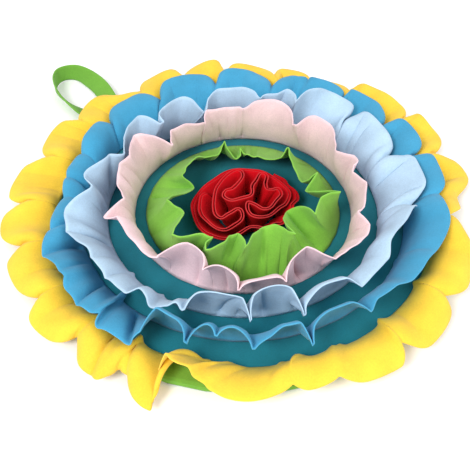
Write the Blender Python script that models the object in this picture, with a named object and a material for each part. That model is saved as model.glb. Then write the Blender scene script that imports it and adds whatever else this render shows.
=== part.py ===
"""A round fleece snuffle mat, lying flat.

A padded teal disc has its edge bound in green tape.  Five gathered fleece strips are sewn
to it in circles, each standing up from its seam and falling into its own folds.  A gathered
red rosette is sewn to the middle, and a flat green ribbon makes a hanging loop at the rim.

Metres, +Z up.  The origin is the middle of the underside, which rests on the surface.
"""

from bisect import bisect_right
from collections import namedtuple
from math import ceil, cos, pi, radians, sin, tau

import bmesh
import bpy
import numpy as np
from mathutils import Vector

# ---- driving dimensions --------------------------------------------------------------------

MM = 0.001
GAP = 0.3 * MM                  # space kept between neighbouring pieces

RIM_RADIUS = 210 * MM           # over the binding
MAT_THICKNESS = 8 * MM          # padded disc with its two fleece faces
TAPE_THICKNESS = 1.6 * MM       # binding tape
TAPE_WIDTH = 19.5 * MM          # how far the binding covers each face of the mat
ROUND_SEGMENTS = 40             # round the disc and the binding
ROUND_STEPS = 2                 # in each quarter of the binding's rounded edge

FLEECE = 2 * MM                 # thickness of a ruffle strip
STRIP_WIDTH = 55 * MM           # from a strip's seam to its free edge
SECTION_SPACING = 20 * MM       # most seam length between two sections of a strip
STEPS_ACROSS = 3                # lines of facets from the seam to the free edge
REST_SPACE = 5 * MM             # least space between the middles of neighbouring strips
REST_CHECKS = 180               # places round the mat where that space is kept
REST_POINTS = 14                # points of a strip's profile that are compared there
MOST_RAISE = 60                 # most extra lean that keeps the space, degrees

ROSETTE_CENTRE = (3 * MM, -5 * MM)
ROSETTE_THICKNESS = 3 * MM      # its strip is folded in two along its seam
ROSETTE_SEAM_SCALE = 0.74       # the seam's path is the free edge's, drawn in by its gathers
ROSETTE_SECTIONS = 104
ROSETTE_STEPS = 2               # lines of facets from the seam to the free edge

LOOP_AZIMUTH = 134.5            # where the hanging loop leaves the rim, degrees from +X
LOOP_WIDTH = 20 * MM
LOOP_THICKNESS = 2.4 * MM
LOOP_SECTIONS = 36

CREASE_ANGLE = 50               # facets that meet more sharply are shaded apart, degrees

# Each row of a fold table is one ridge or one hollow of a strip.
#   at    place on the seam circle, degrees anticlockwise from +X
#   lean  slope of the strip there: 0 lies outwards, 90 stands up, 180 lies inwards
#   curl  degrees that the strip would bend over if its free edge came as near its seam
#         without being gathered in
#   sway  degrees that the strip leans sideways, anticlockwise
Fold = namedtuple("Fold", "at lean curl sway")

YELLOW_FOLDS = (
    Fold(3, 6, 200, 0), Fold(11, 2, 20, 0), Fold(20, 8, 190, 0), Fold(28, 10, 20, 0),
    Fold(32, 18, 20, 0), Fold(36, 10, 130, 0), Fold(41, 12, 30, 0), Fold(47, 18, 20, 0),
    Fold(51, 18, 20, 0), Fold(56, 8, 130, 0), Fold(62, 4, 80, 0), Fold(69, 6, 110, 0),
    Fold(76, 6, 10, 0), Fold(80, 10, 170, 0), Fold(84, 6, 80, 0), Fold(90, 10, 10, 0),
    Fold(95, 8, 200, 0), Fold(99, 20, 20, 0), Fold(103, 14, 60, 0), Fold(108, 8, 120, 0),
    Fold(113, 14, 20, 0), Fold(118, 8, 70, 0), Fold(123, 8, 170, 0), Fold(129, 6, 130, 0),
    Fold(135, 12, 20, 0), Fold(140, 8, 80, 0), Fold(145, 10, 150, 0), Fold(150, 8, 20, 0),
    Fold(156, 4, 80, 0), Fold(162, 8, 210, 0), Fold(170, 2, 20, 0), Fold(176, 4, 60, 0),
    Fold(180, 8, 200, 0), Fold(187, 3, 50, 0), Fold(195, 8, 200, 0), Fold(201, 4, 110, 0),
    Fold(206, 4, 120, 0), Fold(213, 8, 205, 0), Fold(219, 4, 95, 0), Fold(223, 4, 120, 0),
    Fold(228, 5, 215, 0), Fold(231, 5, 175, 3), Fold(234, 5, 112, 6), Fold(237, 5, 100, 4),
    Fold(239.5, 5, 150, 0), Fold(241.5, 6, 200, 0), Fold(243.5, 5, 175, 8),
    Fold(245.5, 3, 80, 14), Fold(247.5, 1, 10, 16), Fold(249.2, 2, 120, 8),
    Fold(250.8, 36, 205, 2), Fold(252.4, 58, 150, 0), Fold(254, 62, 110, -4),
    Fold(255.3, 58, 95, -6), Fold(256.6, 56, 95, -6), Fold(258, 55, 115, -4),
    Fold(260, 46, 135, -3), Fold(262.5, 39, 140, -3), Fold(265.5, 33, 120, -8),
    Fold(268.5, 26, 120, -9), Fold(272, 22, 130, -5), Fold(276, 24, 160, 0),
    Fold(280, 34, 170, 0), Fold(284, 24, 155, 0), Fold(290, 30, 165, 0), Fold(297, 12, 140, 0),
    Fold(303, 10, 130, 0), Fold(307, 30, 180, 0), Fold(314, 8, 125, 0), Fold(321, 10, 145, 0),
    Fold(326, 20, 200, 0), Fold(333, 12, 140, 0), Fold(339, 12, 140, 0), Fold(345, 40, 180, 0),
    Fold(351, 60, 210, 0),
)

BLUE_FOLDS = (
    Fold(5, 32, 100, 0), Fold(12, 30, 85, 0), Fold(18, 32, 180, 0), Fold(23, 30, 95, 0),
    Fold(29, 30, 40, 0), Fold(35, 32, 185, 0), Fold(41, 28, 95, 0), Fold(46, 26, 10, 0),
    Fold(51, 28, 10, 0), Fold(54, 22, 130, 0), Fold(60, 24, 30, 0), Fold(65, 26, 5, 0),
    Fold(68, 22, 60, 0), Fold(71, 22, 10, 0), Fold(75, 22, 110, 0), Fold(79, 20, 190, 0),
    Fold(86, 22, 100, 0), Fold(91, 24, 10, 0), Fold(95, 22, 75, 0), Fold(99, 20, 160, 0),
    Fold(105, 22, 60, 0), Fold(110, 22, 10, 0), Fold(113, 22, 40, 0), Fold(120, 20, 200, 0),
    Fold(129, 22, 115, 0), Fold(134, 22, 115, 0), Fold(141, 24, 200, 0), Fold(147, 36, 160, 0),
    Fold(153, 50, 168, 0), Fold(161, 50, 215, 0), Fold(170, 50, 200, 0), Fold(176, 50, 210, 0),
    Fold(182, 52, 220, 0), Fold(188, 50, 200, 0), Fold(198, 46, 145, 0), Fold(205.5, 40, 60, 0),
    Fold(212, 47, 80, 0), Fold(217, 47, 90, 0), Fold(222, 38, 70, 0), Fold(228, 38, 80, 0),
    Fold(231.5, 42, 120, 0), Fold(235, 32, 70, 0), Fold(240, 32, 80, 0), Fold(244, 46, 95, 0),
    Fold(247, 72, 80, 0), Fold(251, 68, 80, 0), Fold(256, 50, 80, 0), Fold(260, 69, 80, 0),
    Fold(263, 60, 80, 0), Fold(267, 68, 80, 0), Fold(272, 50, 80, 0), Fold(277, 58, 80, 0),
    Fold(280, 67, 80, 0), Fold(283, 67, 80, 0), Fold(286, 46, 80, 0), Fold(289, 62, 80, 0),
    Fold(294, 71, 80, 0), Fold(298, 70, 80, 0), Fold(303, 55, 80, 0), Fold(308, 61, 80, 0),
    Fold(315, 60, 80, 0), Fold(321, 52, 80, 0), Fold(326, 52, 90, 0), Fold(333, 46, 110, 0),
    Fold(339, 42, 90, 0), Fold(346, 38, 80, 0), Fold(353, 34, 120, 0), Fold(359, 33, 150, 0),
)

SKY_FOLDS = (
    Fold(4, 32, 20, 0), Fold(11, 32, 20, 0), Fold(15, 32, 130, 0), Fold(20, 33, 180, 0),
    Fold(26, 34, 130, 0), Fold(30, 34, 90, 0), Fold(38, 34, 40, 0), Fold(42, 33, 120, 0),
    Fold(45.5, 33, 185, 0), Fold(48, 34, 70, 0), Fold(51, 38, 25, 0), Fold(55, 44, 25, 0),
    Fold(59, 78, 20, 0), Fold(62, 106, 20, 0), Fold(66, 95, 20, 0), Fold(70, 88, 20, 0),
    Fold(72.5, 99, 20, 0), Fold(76, 103, 20, 0), Fold(80.5, 111, 20, 0), Fold(86, 100, 20, 0),
    Fold(93.5, 94, 20, 0), Fold(100, 95, 20, 0), Fold(105, 105, 20, 0), Fold(109, 120, 20, 0),
    Fold(113, 124, 20, 0), Fold(117, 103, 20, 0), Fold(122, 94, 20, 0), Fold(128, 97, 20, 0),
    Fold(133, 104, 20, 0), Fold(137, 115, 20, 0), Fold(140, 115, 20, 0), Fold(142.5, 98, 20, 0),
    Fold(145.5, 90, 20, 0), Fold(149, 91, 20, 0), Fold(154, 96, 20, 0), Fold(161, 101, 25, 0),
    Fold(169, 107, 25, 0), Fold(172.5, 96, 25, 0), Fold(176, 84, 25, 0), Fold(180, 72, 25, 0),
    Fold(184, 76, 25, 0), Fold(188, 82, 25, 0), Fold(190.5, 80, 25, 0), Fold(192.5, 60, 30, 0),
    Fold(194.5, 49, 30, 0), Fold(199, 46, 30, 0), Fold(204, 45, 30, 0), Fold(209, 48, 35, 0),
    Fold(215, 55, 40, 0), Fold(220.5, 52, 50, 0), Fold(226, 49, 60, 0), Fold(232, 47, 60, 0),
    Fold(235.5, 57, 60, 0), Fold(238, 54, 60, 0), Fold(241.5, 47, 60, 0), Fold(246, 48, 60, 0),
    Fold(249.5, 56, 75, 0), Fold(252, 55, 90, 0), Fold(257, 72, 90, 0), Fold(262, 77, 90, 0),
    Fold(268, 73, 90, 0), Fold(271.5, 52, 90, 0), Fold(275, 76, 90, 0), Fold(280, 84, 80, 0),
    Fold(284, 78, 80, 0), Fold(287, 50, 90, 0), Fold(291, 60, 90, 0), Fold(297, 70, 90, 0),
    Fold(302, 67, 90, 0), Fold(307, 53, 90, 0), Fold(316, 56, 90, 0), Fold(322, 56, 90, 0),
    Fold(328, 66, 90, 0), Fold(338, 60, 90, 0), Fold(346, 52, 95, 0), Fold(353, 36, 170, 0),
    Fold(359, 33, 110, 0),
)

PINK_FOLDS = (
    Fold(3, 93, 25, 0), Fold(8, 87, 25, 0), Fold(11.5, 88, 25, 0), Fold(14, 98, 25, 0),
    Fold(17, 103, 25, 0), Fold(21, 100, 20, 0), Fold(26.5, 97, 20, 0), Fold(32, 92, 20, 0),
    Fold(38.5, 86, 20, 0), Fold(45, 87, 20, 0), Fold(48.5, 94, 20, 0), Fold(51, 111, 20, 0),
    Fold(54, 113, 20, 0), Fold(58, 105, 20, 0), Fold(65, 90, 20, 0), Fold(72, 84, 20, 0),
    Fold(81, 92, 20, 0), Fold(87, 103, 20, 0), Fold(90, 107, 20, 0), Fold(93, 102, 20, 0),
    Fold(101, 101, 20, 0), Fold(110, 100, 20, 0), Fold(113.5, 105, 20, 0), Fold(117, 116, 20, 0),
    Fold(121, 115, 20, 0), Fold(130, 107, 20, 0), Fold(138, 105, 20, 0), Fold(143, 109, 20, 0),
    Fold(147, 114, 20, 0), Fold(149.5, 119, 20, 0), Fold(151.5, 105, 20, 0), Fold(154, 79, 20, 0),
    Fold(158, 68, 20, 0), Fold(166, 72, 20, 0), Fold(174, 78, 20, 0), Fold(184, 76, 70, 0),
    Fold(192, 80, 60, 0), Fold(199, 82, 60, 0), Fold(204, 54, 60, 0), Fold(209, 66, 60, 0),
    Fold(220, 64, 60, 0), Fold(230, 62, 60, 0), Fold(235, 66, 60, 0), Fold(239, 86, 60, 0),
    Fold(243, 95, 60, 0), Fold(249, 88, 60, 0), Fold(254, 70, 60, 0), Fold(260, 77, 60, 0),
    Fold(264, 70, 60, 0), Fold(268, 56, 60, 0), Fold(274, 62, 60, 0), Fold(280, 64, 60, 0),
    Fold(285, 59, 60, 0), Fold(289, 72, 60, 0), Fold(293, 82, 60, 0), Fold(298, 87, 60, 0),
    Fold(302, 72, 60, 0), Fold(306, 63, 60, 0), Fold(315, 63, 60, 0), Fold(322, 60, 60, 0),
    Fold(326, 60, 50, 0), Fold(330, 63, 40, 0), Fold(332.5, 80, 30, 0), Fold(336, 78, 25, 0),
    Fold(342, 80, 25, 0), Fold(349, 81, 25, 0), Fold(353, 88, 25, 0), Fold(357, 95, 25, 0),
)

GREEN_FOLDS = (
    Fold(3, 124, 30, -8), Fold(5, 118, 30, -5), Fold(8, 124, 30, -8), Fold(11, 131, 30, -12),
    Fold(15, 139, 30, -12), Fold(20, 143, 30, -8), Fold(26, 141, 30, -3), Fold(34, 136, 30, 2),
    Fold(41, 128, 30, 3), Fold(46, 134, 30, -2), Fold(51, 142, 30, -4), Fold(57, 147, 30, -4),
    Fold(66, 151, 30, 0), Fold(77, 150, 30, 4), Fold(84, 147, 30, 4), Fold(90, 143, 30, 3),
    Fold(94, 151, 30, 0), Fold(98, 154, 30, 0), Fold(103, 144, 30, 0), Fold(109, 133, 30, -1),
    Fold(113, 138, 30, -1), Fold(118, 145, 30, 1), Fold(128, 142, 30, 6), Fold(138, 136, 30, 8),
    Fold(150, 136, 30, 10), Fold(159, 136, 30, 12), Fold(164, 145, 30, 7), Fold(170, 155, 30, 1),
    Fold(176, 148, 30, 8), Fold(182, 135, 30, 15), Fold(188, 124, 30, 16), Fold(194, 116, 30, 14),
    Fold(199, 109, 30, 14), Fold(204, 112, 30, 15), Fold(208, 117, 30, 15),
    Fold(212, 116, 30, 16), Fold(216, 104, 30, 18), Fold(221, 89, 30, 16), Fold(227, 81, 30, 12),
    Fold(232, 82, 30, 8), Fold(238, 88, 30, 5), Fold(243, 97, 30, 6), Fold(247, 96, 30, 7),
    Fold(250, 86, 30, 0), Fold(252.5, 79, 30, -1), Fold(256, 82, 30, 0), Fold(260, 92, 30, 1),
    Fold(263, 104, 30, -2), Fold(266, 107, 30, -2), Fold(269, 97, 30, -1), Fold(272, 86, 30, -3),
    Fold(275, 91, 30, -4), Fold(280, 106, 30, -4), Fold(285, 118, 30, 0), Fold(289, 116, 30, 2),
    Fold(293, 104, 30, 1), Fold(297, 97, 30, -3), Fold(300.5, 91, 30, -5), Fold(304, 96, 30, -8),
    Fold(308, 112, 30, -11), Fold(312, 129, 30, -8), Fold(316, 142, 30, 0), Fold(320, 128, 30, 0),
    Fold(324, 114, 30, -6), Fold(328, 102, 30, -16), Fold(332, 106, 30, -12),
    Fold(336, 109, 30, -4), Fold(340, 103, 30, -5), Fold(343.5, 97, 30, -8),
    Fold(347, 92, 30, -11), Fold(350.5, 97, 30, -13), Fold(354, 118, 30, -15),
    Fold(358, 134, 30, -13),
)

# The fullness of a ruffle is the share of its curl that shows as a bend; small gathers at the
# seam take up the rest.
Ruffle = namedtuple("Ruffle", "node seam_radius fullness colour folds")
RUFFLES = (
    Ruffle("ruffle_yellow", 188.3 * MM, 1.0, (0.98, 0.67, 0.09), YELLOW_FOLDS),
    Ruffle("ruffle_blue", 162 * MM, 0.75, (0.07, 0.38, 0.60), BLUE_FOLDS),
    Ruffle("ruffle_sky", 137 * MM, 0.6, (0.45, 0.65, 0.82), SKY_FOLDS),
    Ruffle("ruffle_pink", 110 * MM, 0.7, (0.82, 0.58, 0.62), PINK_FOLDS),
    Ruffle("ruffle_green", 98 * MM, 1.0, (0.22, 0.55, 0.06), GREEN_FOLDS),
)

# Each row is one place along the rosette's strip, from its outer end to its inner one.
#   x       of its free edge, mm from the rosette's middle
#   y       of its free edge, mm from the rosette's middle
#   height  of its free edge over the mat, mm
Place = namedtuple("Place", "x y height")
ROSETTE_PATH = (
    Place(-40, 9, 17), Place(-45, 3, 18), Place(-46, -11, 19), Place(-42, -27, 20),
    Place(-33, -39, 21), Place(-20, -45, 22), Place(-9, -40, 24), Place(-4, -32, 26),
    Place(-5, -25, 27), Place(-10, -23, 27), Place(-17, -28, 26), Place(-24, -33, 25),
    Place(-30, -27, 25), Place(-32, -15, 25), Place(-31, 0, 25), Place(-28, 13, 24),
    Place(-22, 26, 24), Place(-12, 35, 24), Place(-5, 34, 25), Place(-3, 25, 27),
    Place(-7, 15, 28), Place(-13, 5, 29), Place(-20, 1, 29), Place(-22, -7, 29),
    Place(-16, -13, 30), Place(-8, -13, 31), Place(2, -9, 31), Place(6, -3, 31), Place(7, 8, 30),
    Place(11, 20, 28), Place(15, 29, 26), Place(21, 27, 25), Place(20, 15, 26), Place(21, 5, 27),
    Place(26, 6, 26), Place(32, 8, 25), Place(35, 1, 24), Place(30, -9, 26), Place(24, -20, 27),
    Place(16, -23, 28), Place(8, -18, 29), Place(2, -16, 29), Place(1, -23, 28),
    Place(5, -30, 27), Place(13, -33, 26), Place(23, -28, 24), Place(33, -16, 22),
    Place(40, -6, 19), Place(44, 8, 18), Place(38, 20, 18), Place(29, 30, 19), Place(17, 38, 20),
    Place(4, 41, 20), Place(-9, 43, 19), Place(-22, 38, 18), Place(-34, 28, 17),
    Place(-44, 17, 16), Place(-51, 5, 15), Place(-53, -10, 15), Place(-49, -29, 15),
    Place(-39, -44, 16), Place(-22, -52, 17), Place(-8, -49, 19), Place(4, -41, 21),
    Place(12, -41, 21), Place(19, -43, 19), Place(27, -35, 19), Place(35, -33, 18),
    Place(39, -24, 18), Place(47, -18, 16), Place(46, -7, 16), Place(52, 3, 15),
    Place(50, 15, 14), Place(43, 23, 15), Place(39, 32, 15), Place(29, 38, 16),
)

# Each row is one section of the hanging loop, from one end round to the other.
#   out   distance from the mat's middle along the loop's azimuth, mm
#   side  distance from that line, anticlockwise, mm
#   up    height of the ribbon's middle, mm
#   tilt  0 where the ribbon lies flat, 90 where it stands on its edge, degrees
Section = namedtuple("Section", "out side up tilt")
LOOP_PATH = (
    Section(210.8, -13, 3, 0), Section(229, -13, 3, 0), Section(248, -18, 5, 12),
    Section(270, -23, 8, 30), Section(292, -23, 10, 50), Section(310, -19, 11.3, 75),
    Section(320, -9, 11.5, 90), Section(321, 3, 11.5, 90), Section(311, 15, 11.5, 90),
    Section(292, 22, 11.2, 75), Section(272, 24, 10, 55), Section(250, 20, 6, 30),
    Section(229, 13, 3, 0), Section(210.8, 13, 3, 0),
)

TEAL = (0.01, 0.20, 0.24)
TAPE_GREEN = (0.19, 0.45, 0.05)
RED = (0.55, 0.004, 0.008)

# ---- mesh helpers --------------------------------------------------------------------------


def clear_scene():
    for old in list(bpy.data.objects):
        bpy.data.objects.remove(old, do_unlink=True)


def fleece_material(name, colour):
    material = bpy.data.materials.new(name)
    material.use_nodes = True
    shader = material.node_tree.nodes["Principled BSDF"]
    shader.inputs["Base Color"].default_value = (*colour, 1.0)
    shader.inputs["Roughness"].default_value = 0.95
    shader.inputs["Metallic"].default_value = 0.0
    return material


def add_piece(name, vertices, faces, colour):
    """Make one closed mesh object, its faces turned outwards."""
    mesh = bpy.data.meshes.new(name)
    mesh.from_pydata([tuple(v) for v in vertices], [], faces)
    shell = bmesh.new()
    shell.from_mesh(mesh)
    bmesh.ops.recalc_face_normals(shell, faces=shell.faces)
    bmesh.ops.triangulate(shell, faces=shell.faces)
    shell.to_mesh(mesh)
    shell.free()
    mesh.shade_smooth()
    mesh.set_sharp_from_angle(angle=radians(CREASE_ANGLE))
    mesh.materials.append(fleece_material(name, colour))
    piece = bpy.data.objects.new(name, mesh)
    bpy.context.scene.collection.objects.link(piece)
    return piece


def grid_faces(rows, columns, wrap_rows, wrap_columns):
    """Quads of a grid of vertices numbered row by row."""
    faces = []
    for i in range(rows if wrap_rows else rows - 1):
        for j in range(columns if wrap_columns else columns - 1):
            k = (i + 1) % rows
            m = (j + 1) % columns
            faces.append((i * columns + j, k * columns + j, k * columns + m, i * columns + m))
    return faces


def polar(radius, azimuth, height=0.0):
    return Vector((radius * cos(azimuth), radius * sin(azimuth), height))


# ---- the disc and its binding --------------------------------------------------------------


def turned_ring(name, profile, colour):
    """Turn a closed outline of (radius, height) points round the Z axis."""
    vertices = []
    for i in range(ROUND_SEGMENTS):
        azimuth = tau * i / ROUND_SEGMENTS
        vertices += [polar(radius, azimuth, height) for radius, height in profile]
    faces = grid_faces(ROUND_SEGMENTS, len(profile), True, True)
    return add_piece(name, vertices, faces, colour)


def turned_disc(name, profile, colour):
    """Turn an open outline whose two ends are flat faces that reach the axis."""
    size = len(profile)
    vertices = []
    for i in range(ROUND_SEGMENTS):
        azimuth = tau * i / ROUND_SEGMENTS
        vertices += [polar(radius, azimuth, height) for radius, height in profile]
    faces = grid_faces(ROUND_SEGMENTS, size, True, False)
    faces.append([i * size for i in range(ROUND_SEGMENTS)])
    faces.append([i * size + size - 1 for i in range(ROUND_SEGMENTS)])
    return add_piece(name, vertices, faces, colour)


def half_round(centre_radius, radius):
    """Points of the rounded outer edge at mid thickness, from its underside to its top."""
    steps = 2 * ROUND_STEPS
    middle = MAT_THICKNESS / 2
    angles = [-pi / 2 + pi * i / steps for i in range(steps + 1)]
    return [(centre_radius + radius * cos(a), middle + radius * sin(a)) for a in angles]


def build_binding():
    """Tape folded round the edge of the mat, a C in section."""
    half = MAT_THICKNESS / 2
    round_centre = RIM_RADIUS - half
    inner_edge = RIM_RADIUS - TAPE_WIDTH
    outside = half_round(round_centre, half)
    inside = half_round(round_centre, half - TAPE_THICKNESS)
    profile = [(inner_edge, 0.0)] + outside + [(inner_edge, MAT_THICKNESS)]
    profile += [(inner_edge, MAT_THICKNESS - TAPE_THICKNESS)]
    profile += inside[::-1] + [(inner_edge, TAPE_THICKNESS)]
    return turned_ring("edge_binding", profile, TAPE_GREEN)


def build_mat():
    """Padded disc, thinner where the binding squeezes its edge."""
    shoulder = RIM_RADIUS - TAPE_WIDTH - GAP
    squeeze = TAPE_THICKNESS + GAP
    half = MAT_THICKNESS / 2
    edge = half_round(RIM_RADIUS - half, half - squeeze)
    profile = [(shoulder, 0.0), (shoulder, squeeze)] + edge
    profile += [(shoulder, MAT_THICKNESS - squeeze), (shoulder, MAT_THICKNESS)]
    return turned_disc("base_mat", profile, TEAL)


# ---- the ruffles ---------------------------------------------------------------------------


def end_slopes(folds, column):
    """Slope of a smooth curve through the rows, level at each ridge and hollow."""
    slopes = []
    for i, fold in enumerate(folds):
        before = folds[i - 1]
        after = folds[(i + 1) % len(folds)]
        run_before = (fold.at - before.at) % 360
        run_after = (after.at - fold.at) % 360
        rise_before = (fold[column] - before[column]) / run_before
        rise_after = (after[column] - fold[column]) / run_after
        if rise_before * rise_after <= 0:
            slopes.append(0.0)
            continue
        weight_before = 2 * run_after + run_before
        weight_after = run_after + 2 * run_before
        weights = weight_before + weight_after
        slopes.append(weights / (weight_before / rise_before + weight_after / rise_after))
    return slopes


def blend(start, end, slope_start, slope_end, run, t):
    """Cubic between two rows."""
    return (start * (2 * t**3 - 3 * t**2 + 1) + run * slope_start * (t**3 - 2 * t**2 + t)
            + end * (3 * t**2 - 2 * t**3) + run * slope_end * (t**3 - t**2))


def fold_at(folds, slopes, azimuth):
    """Lean, curl and sway of the strip at any azimuth, in degrees."""
    first = folds[0].at
    azimuth = first + (azimuth - first) % 360
    i = bisect_right([fold.at for fold in folds], azimuth) - 1
    j = (i + 1) % len(folds)
    run = (folds[j].at - folds[i].at) % 360
    t = (azimuth - folds[i].at) / run
    return [blend(folds[i][c], folds[j][c], slopes[c][i], slopes[c][j], run, t) for c in (1, 2, 3)]


def strip_profile(lean, curl, fullness, steps):
    """Reach and rise of a strip's middle surface from its seam, an arc up to its free edge."""
    half = radians(max(curl, 0.1)) / 2
    chord = STRIP_WIDTH * sin(half) / half
    bend = 2 * half * fullness
    radius = chord / (2 * sin(bend / 2))
    start = radians(lean) + bend / 2
    turns = start - bend * np.arange(steps + 1) / steps
    return radius * (sin(start) - np.sin(turns)), radius * (np.cos(turns) - cos(start))


def rest_profile(ruffle, lean, curl):
    reach, rise = strip_profile(lean, curl, ruffle.fullness, REST_POINTS)
    return np.stack([ruffle.seam_radius + reach, rise], axis=1)


def rest_raises(ruffle, slopes, outer):
    """Extra lean at even azimuths that keeps a strip clear of the one outside it."""
    needs = []
    for i in range(REST_CHECKS):
        lean, curl, _ = fold_at(ruffle.folds, slopes, 360 * i / REST_CHECKS)
        need = 0
        while outer is not None and need < MOST_RAISE:
            apart = rest_profile(ruffle, lean + need, curl)[:, None] - outer[i][None]
            if np.sqrt((apart**2).sum(axis=2)).min() >= REST_SPACE:
                break
            need += 1
        needs.append(need)
    needs = np.array(needs)
    peaks = np.maximum(needs, np.maximum(np.roll(needs, 1), np.roll(needs, -1)))
    return np.maximum(needs, (peaks + np.roll(peaks, 1) + np.roll(peaks, -1)) / 3)


def settled(ruffle, slopes, raises, azimuth):
    """Lean, curl and sway of a strip that lies on the one outside it."""
    lean, curl, sway = fold_at(ruffle.folds, slopes, azimuth)
    places = np.arange(REST_CHECKS) * 360 / REST_CHECKS
    return lean + float(np.interp(azimuth, places, raises, period=360)), curl, sway


def strip_line(ruffle, azimuth, lean, curl, sway):
    """Points of the strip's middle surface from its seam out to its free edge."""
    outward = polar(1.0, radians(azimuth))
    along = polar(1.0, radians(azimuth + 90))
    side = radians(sway)
    slope = radians(lean + curl * ruffle.fullness / 2)
    seam_height = MAT_THICKNESS + GAP + FLEECE / 2 * abs(cos(slope))
    points = []
    for reach, rise in zip(*strip_profile(lean, curl, ruffle.fullness, STEPS_ACROSS)):
        span = (reach**2 + rise**2) ** 0.5
        point = outward * (ruffle.seam_radius + reach * cos(side)) + along * (span * sin(side))
        point.z = seam_height + rise * cos(side)
        points.append(point)
    return points


def sheet_normals(rows):
    """Unit normals of a closed band of points."""
    normals = []
    last = len(rows[0]) - 1
    for i, row in enumerate(rows):
        ahead = rows[(i + 1) % len(rows)]
        behind = rows[i - 1]
        for j in range(last + 1):
            around = ahead[j] - behind[j]
            across = row[min(j + 1, last)] - row[max(j - 1, 0)]
            normals.append(around.cross(across).normalized())
    return normals


def build_ruffle(ruffle, outer):
    """Build one gathered strip and return its profiles for the next strip to lie on."""
    folds = ruffle.folds
    slopes = [None] + [end_slopes(folds, column) for column in (1, 2, 3)]
    raises = rest_raises(ruffle, slopes, outer)
    rows = []
    for i, fold in enumerate(folds):
        run = (folds[(i + 1) % len(folds)].at - fold.at) % 360
        steps = ceil(radians(run) * ruffle.seam_radius / SECTION_SPACING)
        for step in range(steps):
            azimuth = fold.at + run * step / steps
            shape = settled(ruffle, slopes, raises, azimuth)
            rows.append(strip_line(ruffle, azimuth, *shape))
    normals = sheet_normals(rows)
    columns = STEPS_ACROSS + 1
    vertices = []
    for i, row in enumerate(rows):
        offsets = [normals[i * columns + j] * (FLEECE / 2) for j in range(columns)]
        vertices += [row[j] + offsets[j] for j in range(columns)]
        vertices += [row[j] - offsets[j] for j in reversed(range(columns))]
    for vertex in vertices:
        vertex.z = max(vertex.z, MAT_THICKNESS + GAP)
    faces = grid_faces(len(rows), 2 * columns, True, True)
    add_piece(ruffle.node, vertices, faces, ruffle.colour)
    places = [360 * i / REST_CHECKS for i in range(REST_CHECKS)]
    return [rest_profile(ruffle, *settled(ruffle, slopes, raises, a)[:2]) for a in places]


# ---- the rosette and the hanging loop ------------------------------------------------------


def smooth_path(rows, count):
    """Evenly spaced samples of a smooth curve through the rows of a table."""
    samples = []
    last = len(rows) - 1
    for k in range(count + 1):
        place = last * k / count
        i = min(int(place), last - 1)
        t = place - i
        p0, p1, p2, p3 = (rows[min(max(n, 0), last)] for n in (i - 1, i, i + 1, i + 2))
        samples.append([
            0.5 * (2 * b + (c - a) * t + (2 * a - 5 * b + 4 * c - d) * t**2
                   + (3 * b - a - 3 * c + d) * t**3)
            for a, b, c, d in zip(p0, p1, p2, p3)])
    return samples


def build_rosette():
    """Standing strip that winds to and fro, gathered along its lower edge."""
    samples = smooth_path(ROSETTE_PATH, ROSETTE_SECTIONS)
    middle = Vector((*ROSETTE_CENTRE, MAT_THICKNESS + GAP))
    edge = [Vector((x * MM, y * MM, 0)) for x, y, _ in samples]
    size = 2 * (ROSETTE_STEPS + 1)
    vertices = []
    for i, point in enumerate(edge):
        ahead = edge[min(i + 1, ROSETTE_SECTIONS)]
        along = (ahead - edge[max(i - 1, 0)]).normalized()
        aside = Vector((-along.y, along.x, 0)) * (ROSETTE_THICKNESS / 2)
        line = []
        for step in range(ROSETTE_STEPS + 1):
            rise = step / ROSETTE_STEPS
            scale = ROSETTE_SEAM_SCALE + (1 - ROSETTE_SEAM_SCALE) * rise
            line.append(middle + point * scale + Vector((0, 0, samples[i][2] * MM * rise)))
        vertices += [place + aside for place in line]
        vertices += [place - aside for place in reversed(line)]
    faces = grid_faces(ROSETTE_SECTIONS + 1, size, False, True)
    faces.append(range(size))
    faces.append(range(ROSETTE_SECTIONS * size, (ROSETTE_SECTIONS + 1) * size))
    return add_piece("rosette_red", vertices, faces, RED)


def build_loop():
    """Flat ribbon that leaves the rim, turns on its edge round the tip and comes back."""
    outward = polar(1.0, radians(LOOP_AZIMUTH))
    sideways = polar(1.0, radians(LOOP_AZIMUTH + 90))
    samples = smooth_path(LOOP_PATH, LOOP_SECTIONS)
    middles = []
    for out, side, up, _ in samples:
        middles.append(outward * out * MM + sideways * side * MM + Vector((0, 0, up * MM)))
    vertices = []
    for i, middle in enumerate(middles):
        ahead = middles[min(i + 1, LOOP_SECTIONS)]
        along = (ahead - middles[max(i - 1, 0)]).normalized()
        flat = along.cross(Vector((0, 0, 1))).normalized()
        upright = flat.cross(along).normalized()
        tilt = radians(samples[i][3])
        across = (flat * cos(tilt) + upright * sin(tilt)) * (LOOP_WIDTH / 2)
        through = (upright * cos(tilt) - flat * sin(tilt)) * (LOOP_THICKNESS / 2)
        vertices += [middle + across + through, middle - across + through,
                     middle - across - through, middle + across - through]
    faces = grid_faces(LOOP_SECTIONS + 1, 4, False, True)
    faces.append((0, 1, 2, 3))
    end = 4 * LOOP_SECTIONS
    faces.append((end, end + 1, end + 2, end + 3))
    return add_piece("hanging_loop", vertices, faces, TAPE_GREEN)


def main():
    clear_scene()
    build_mat()
    build_binding()
    profiles = None
    for ruffle in RUFFLES:
        profiles = build_ruffle(ruffle, profiles)
    build_rosette()
    build_loop()


main()
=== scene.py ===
"""Looks of the round fleece snuffle mat: the ruffles, rosette, binding and loop in detail.

Metres, +Z up, in the row frame.  The fold tables are those of the part's own strips, and the
functions below turn them into finer sheets with softer lobes, seam tucks and cut edges.
"""

from collections import namedtuple
from math import cos, pi, radians, sin, tau

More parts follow.
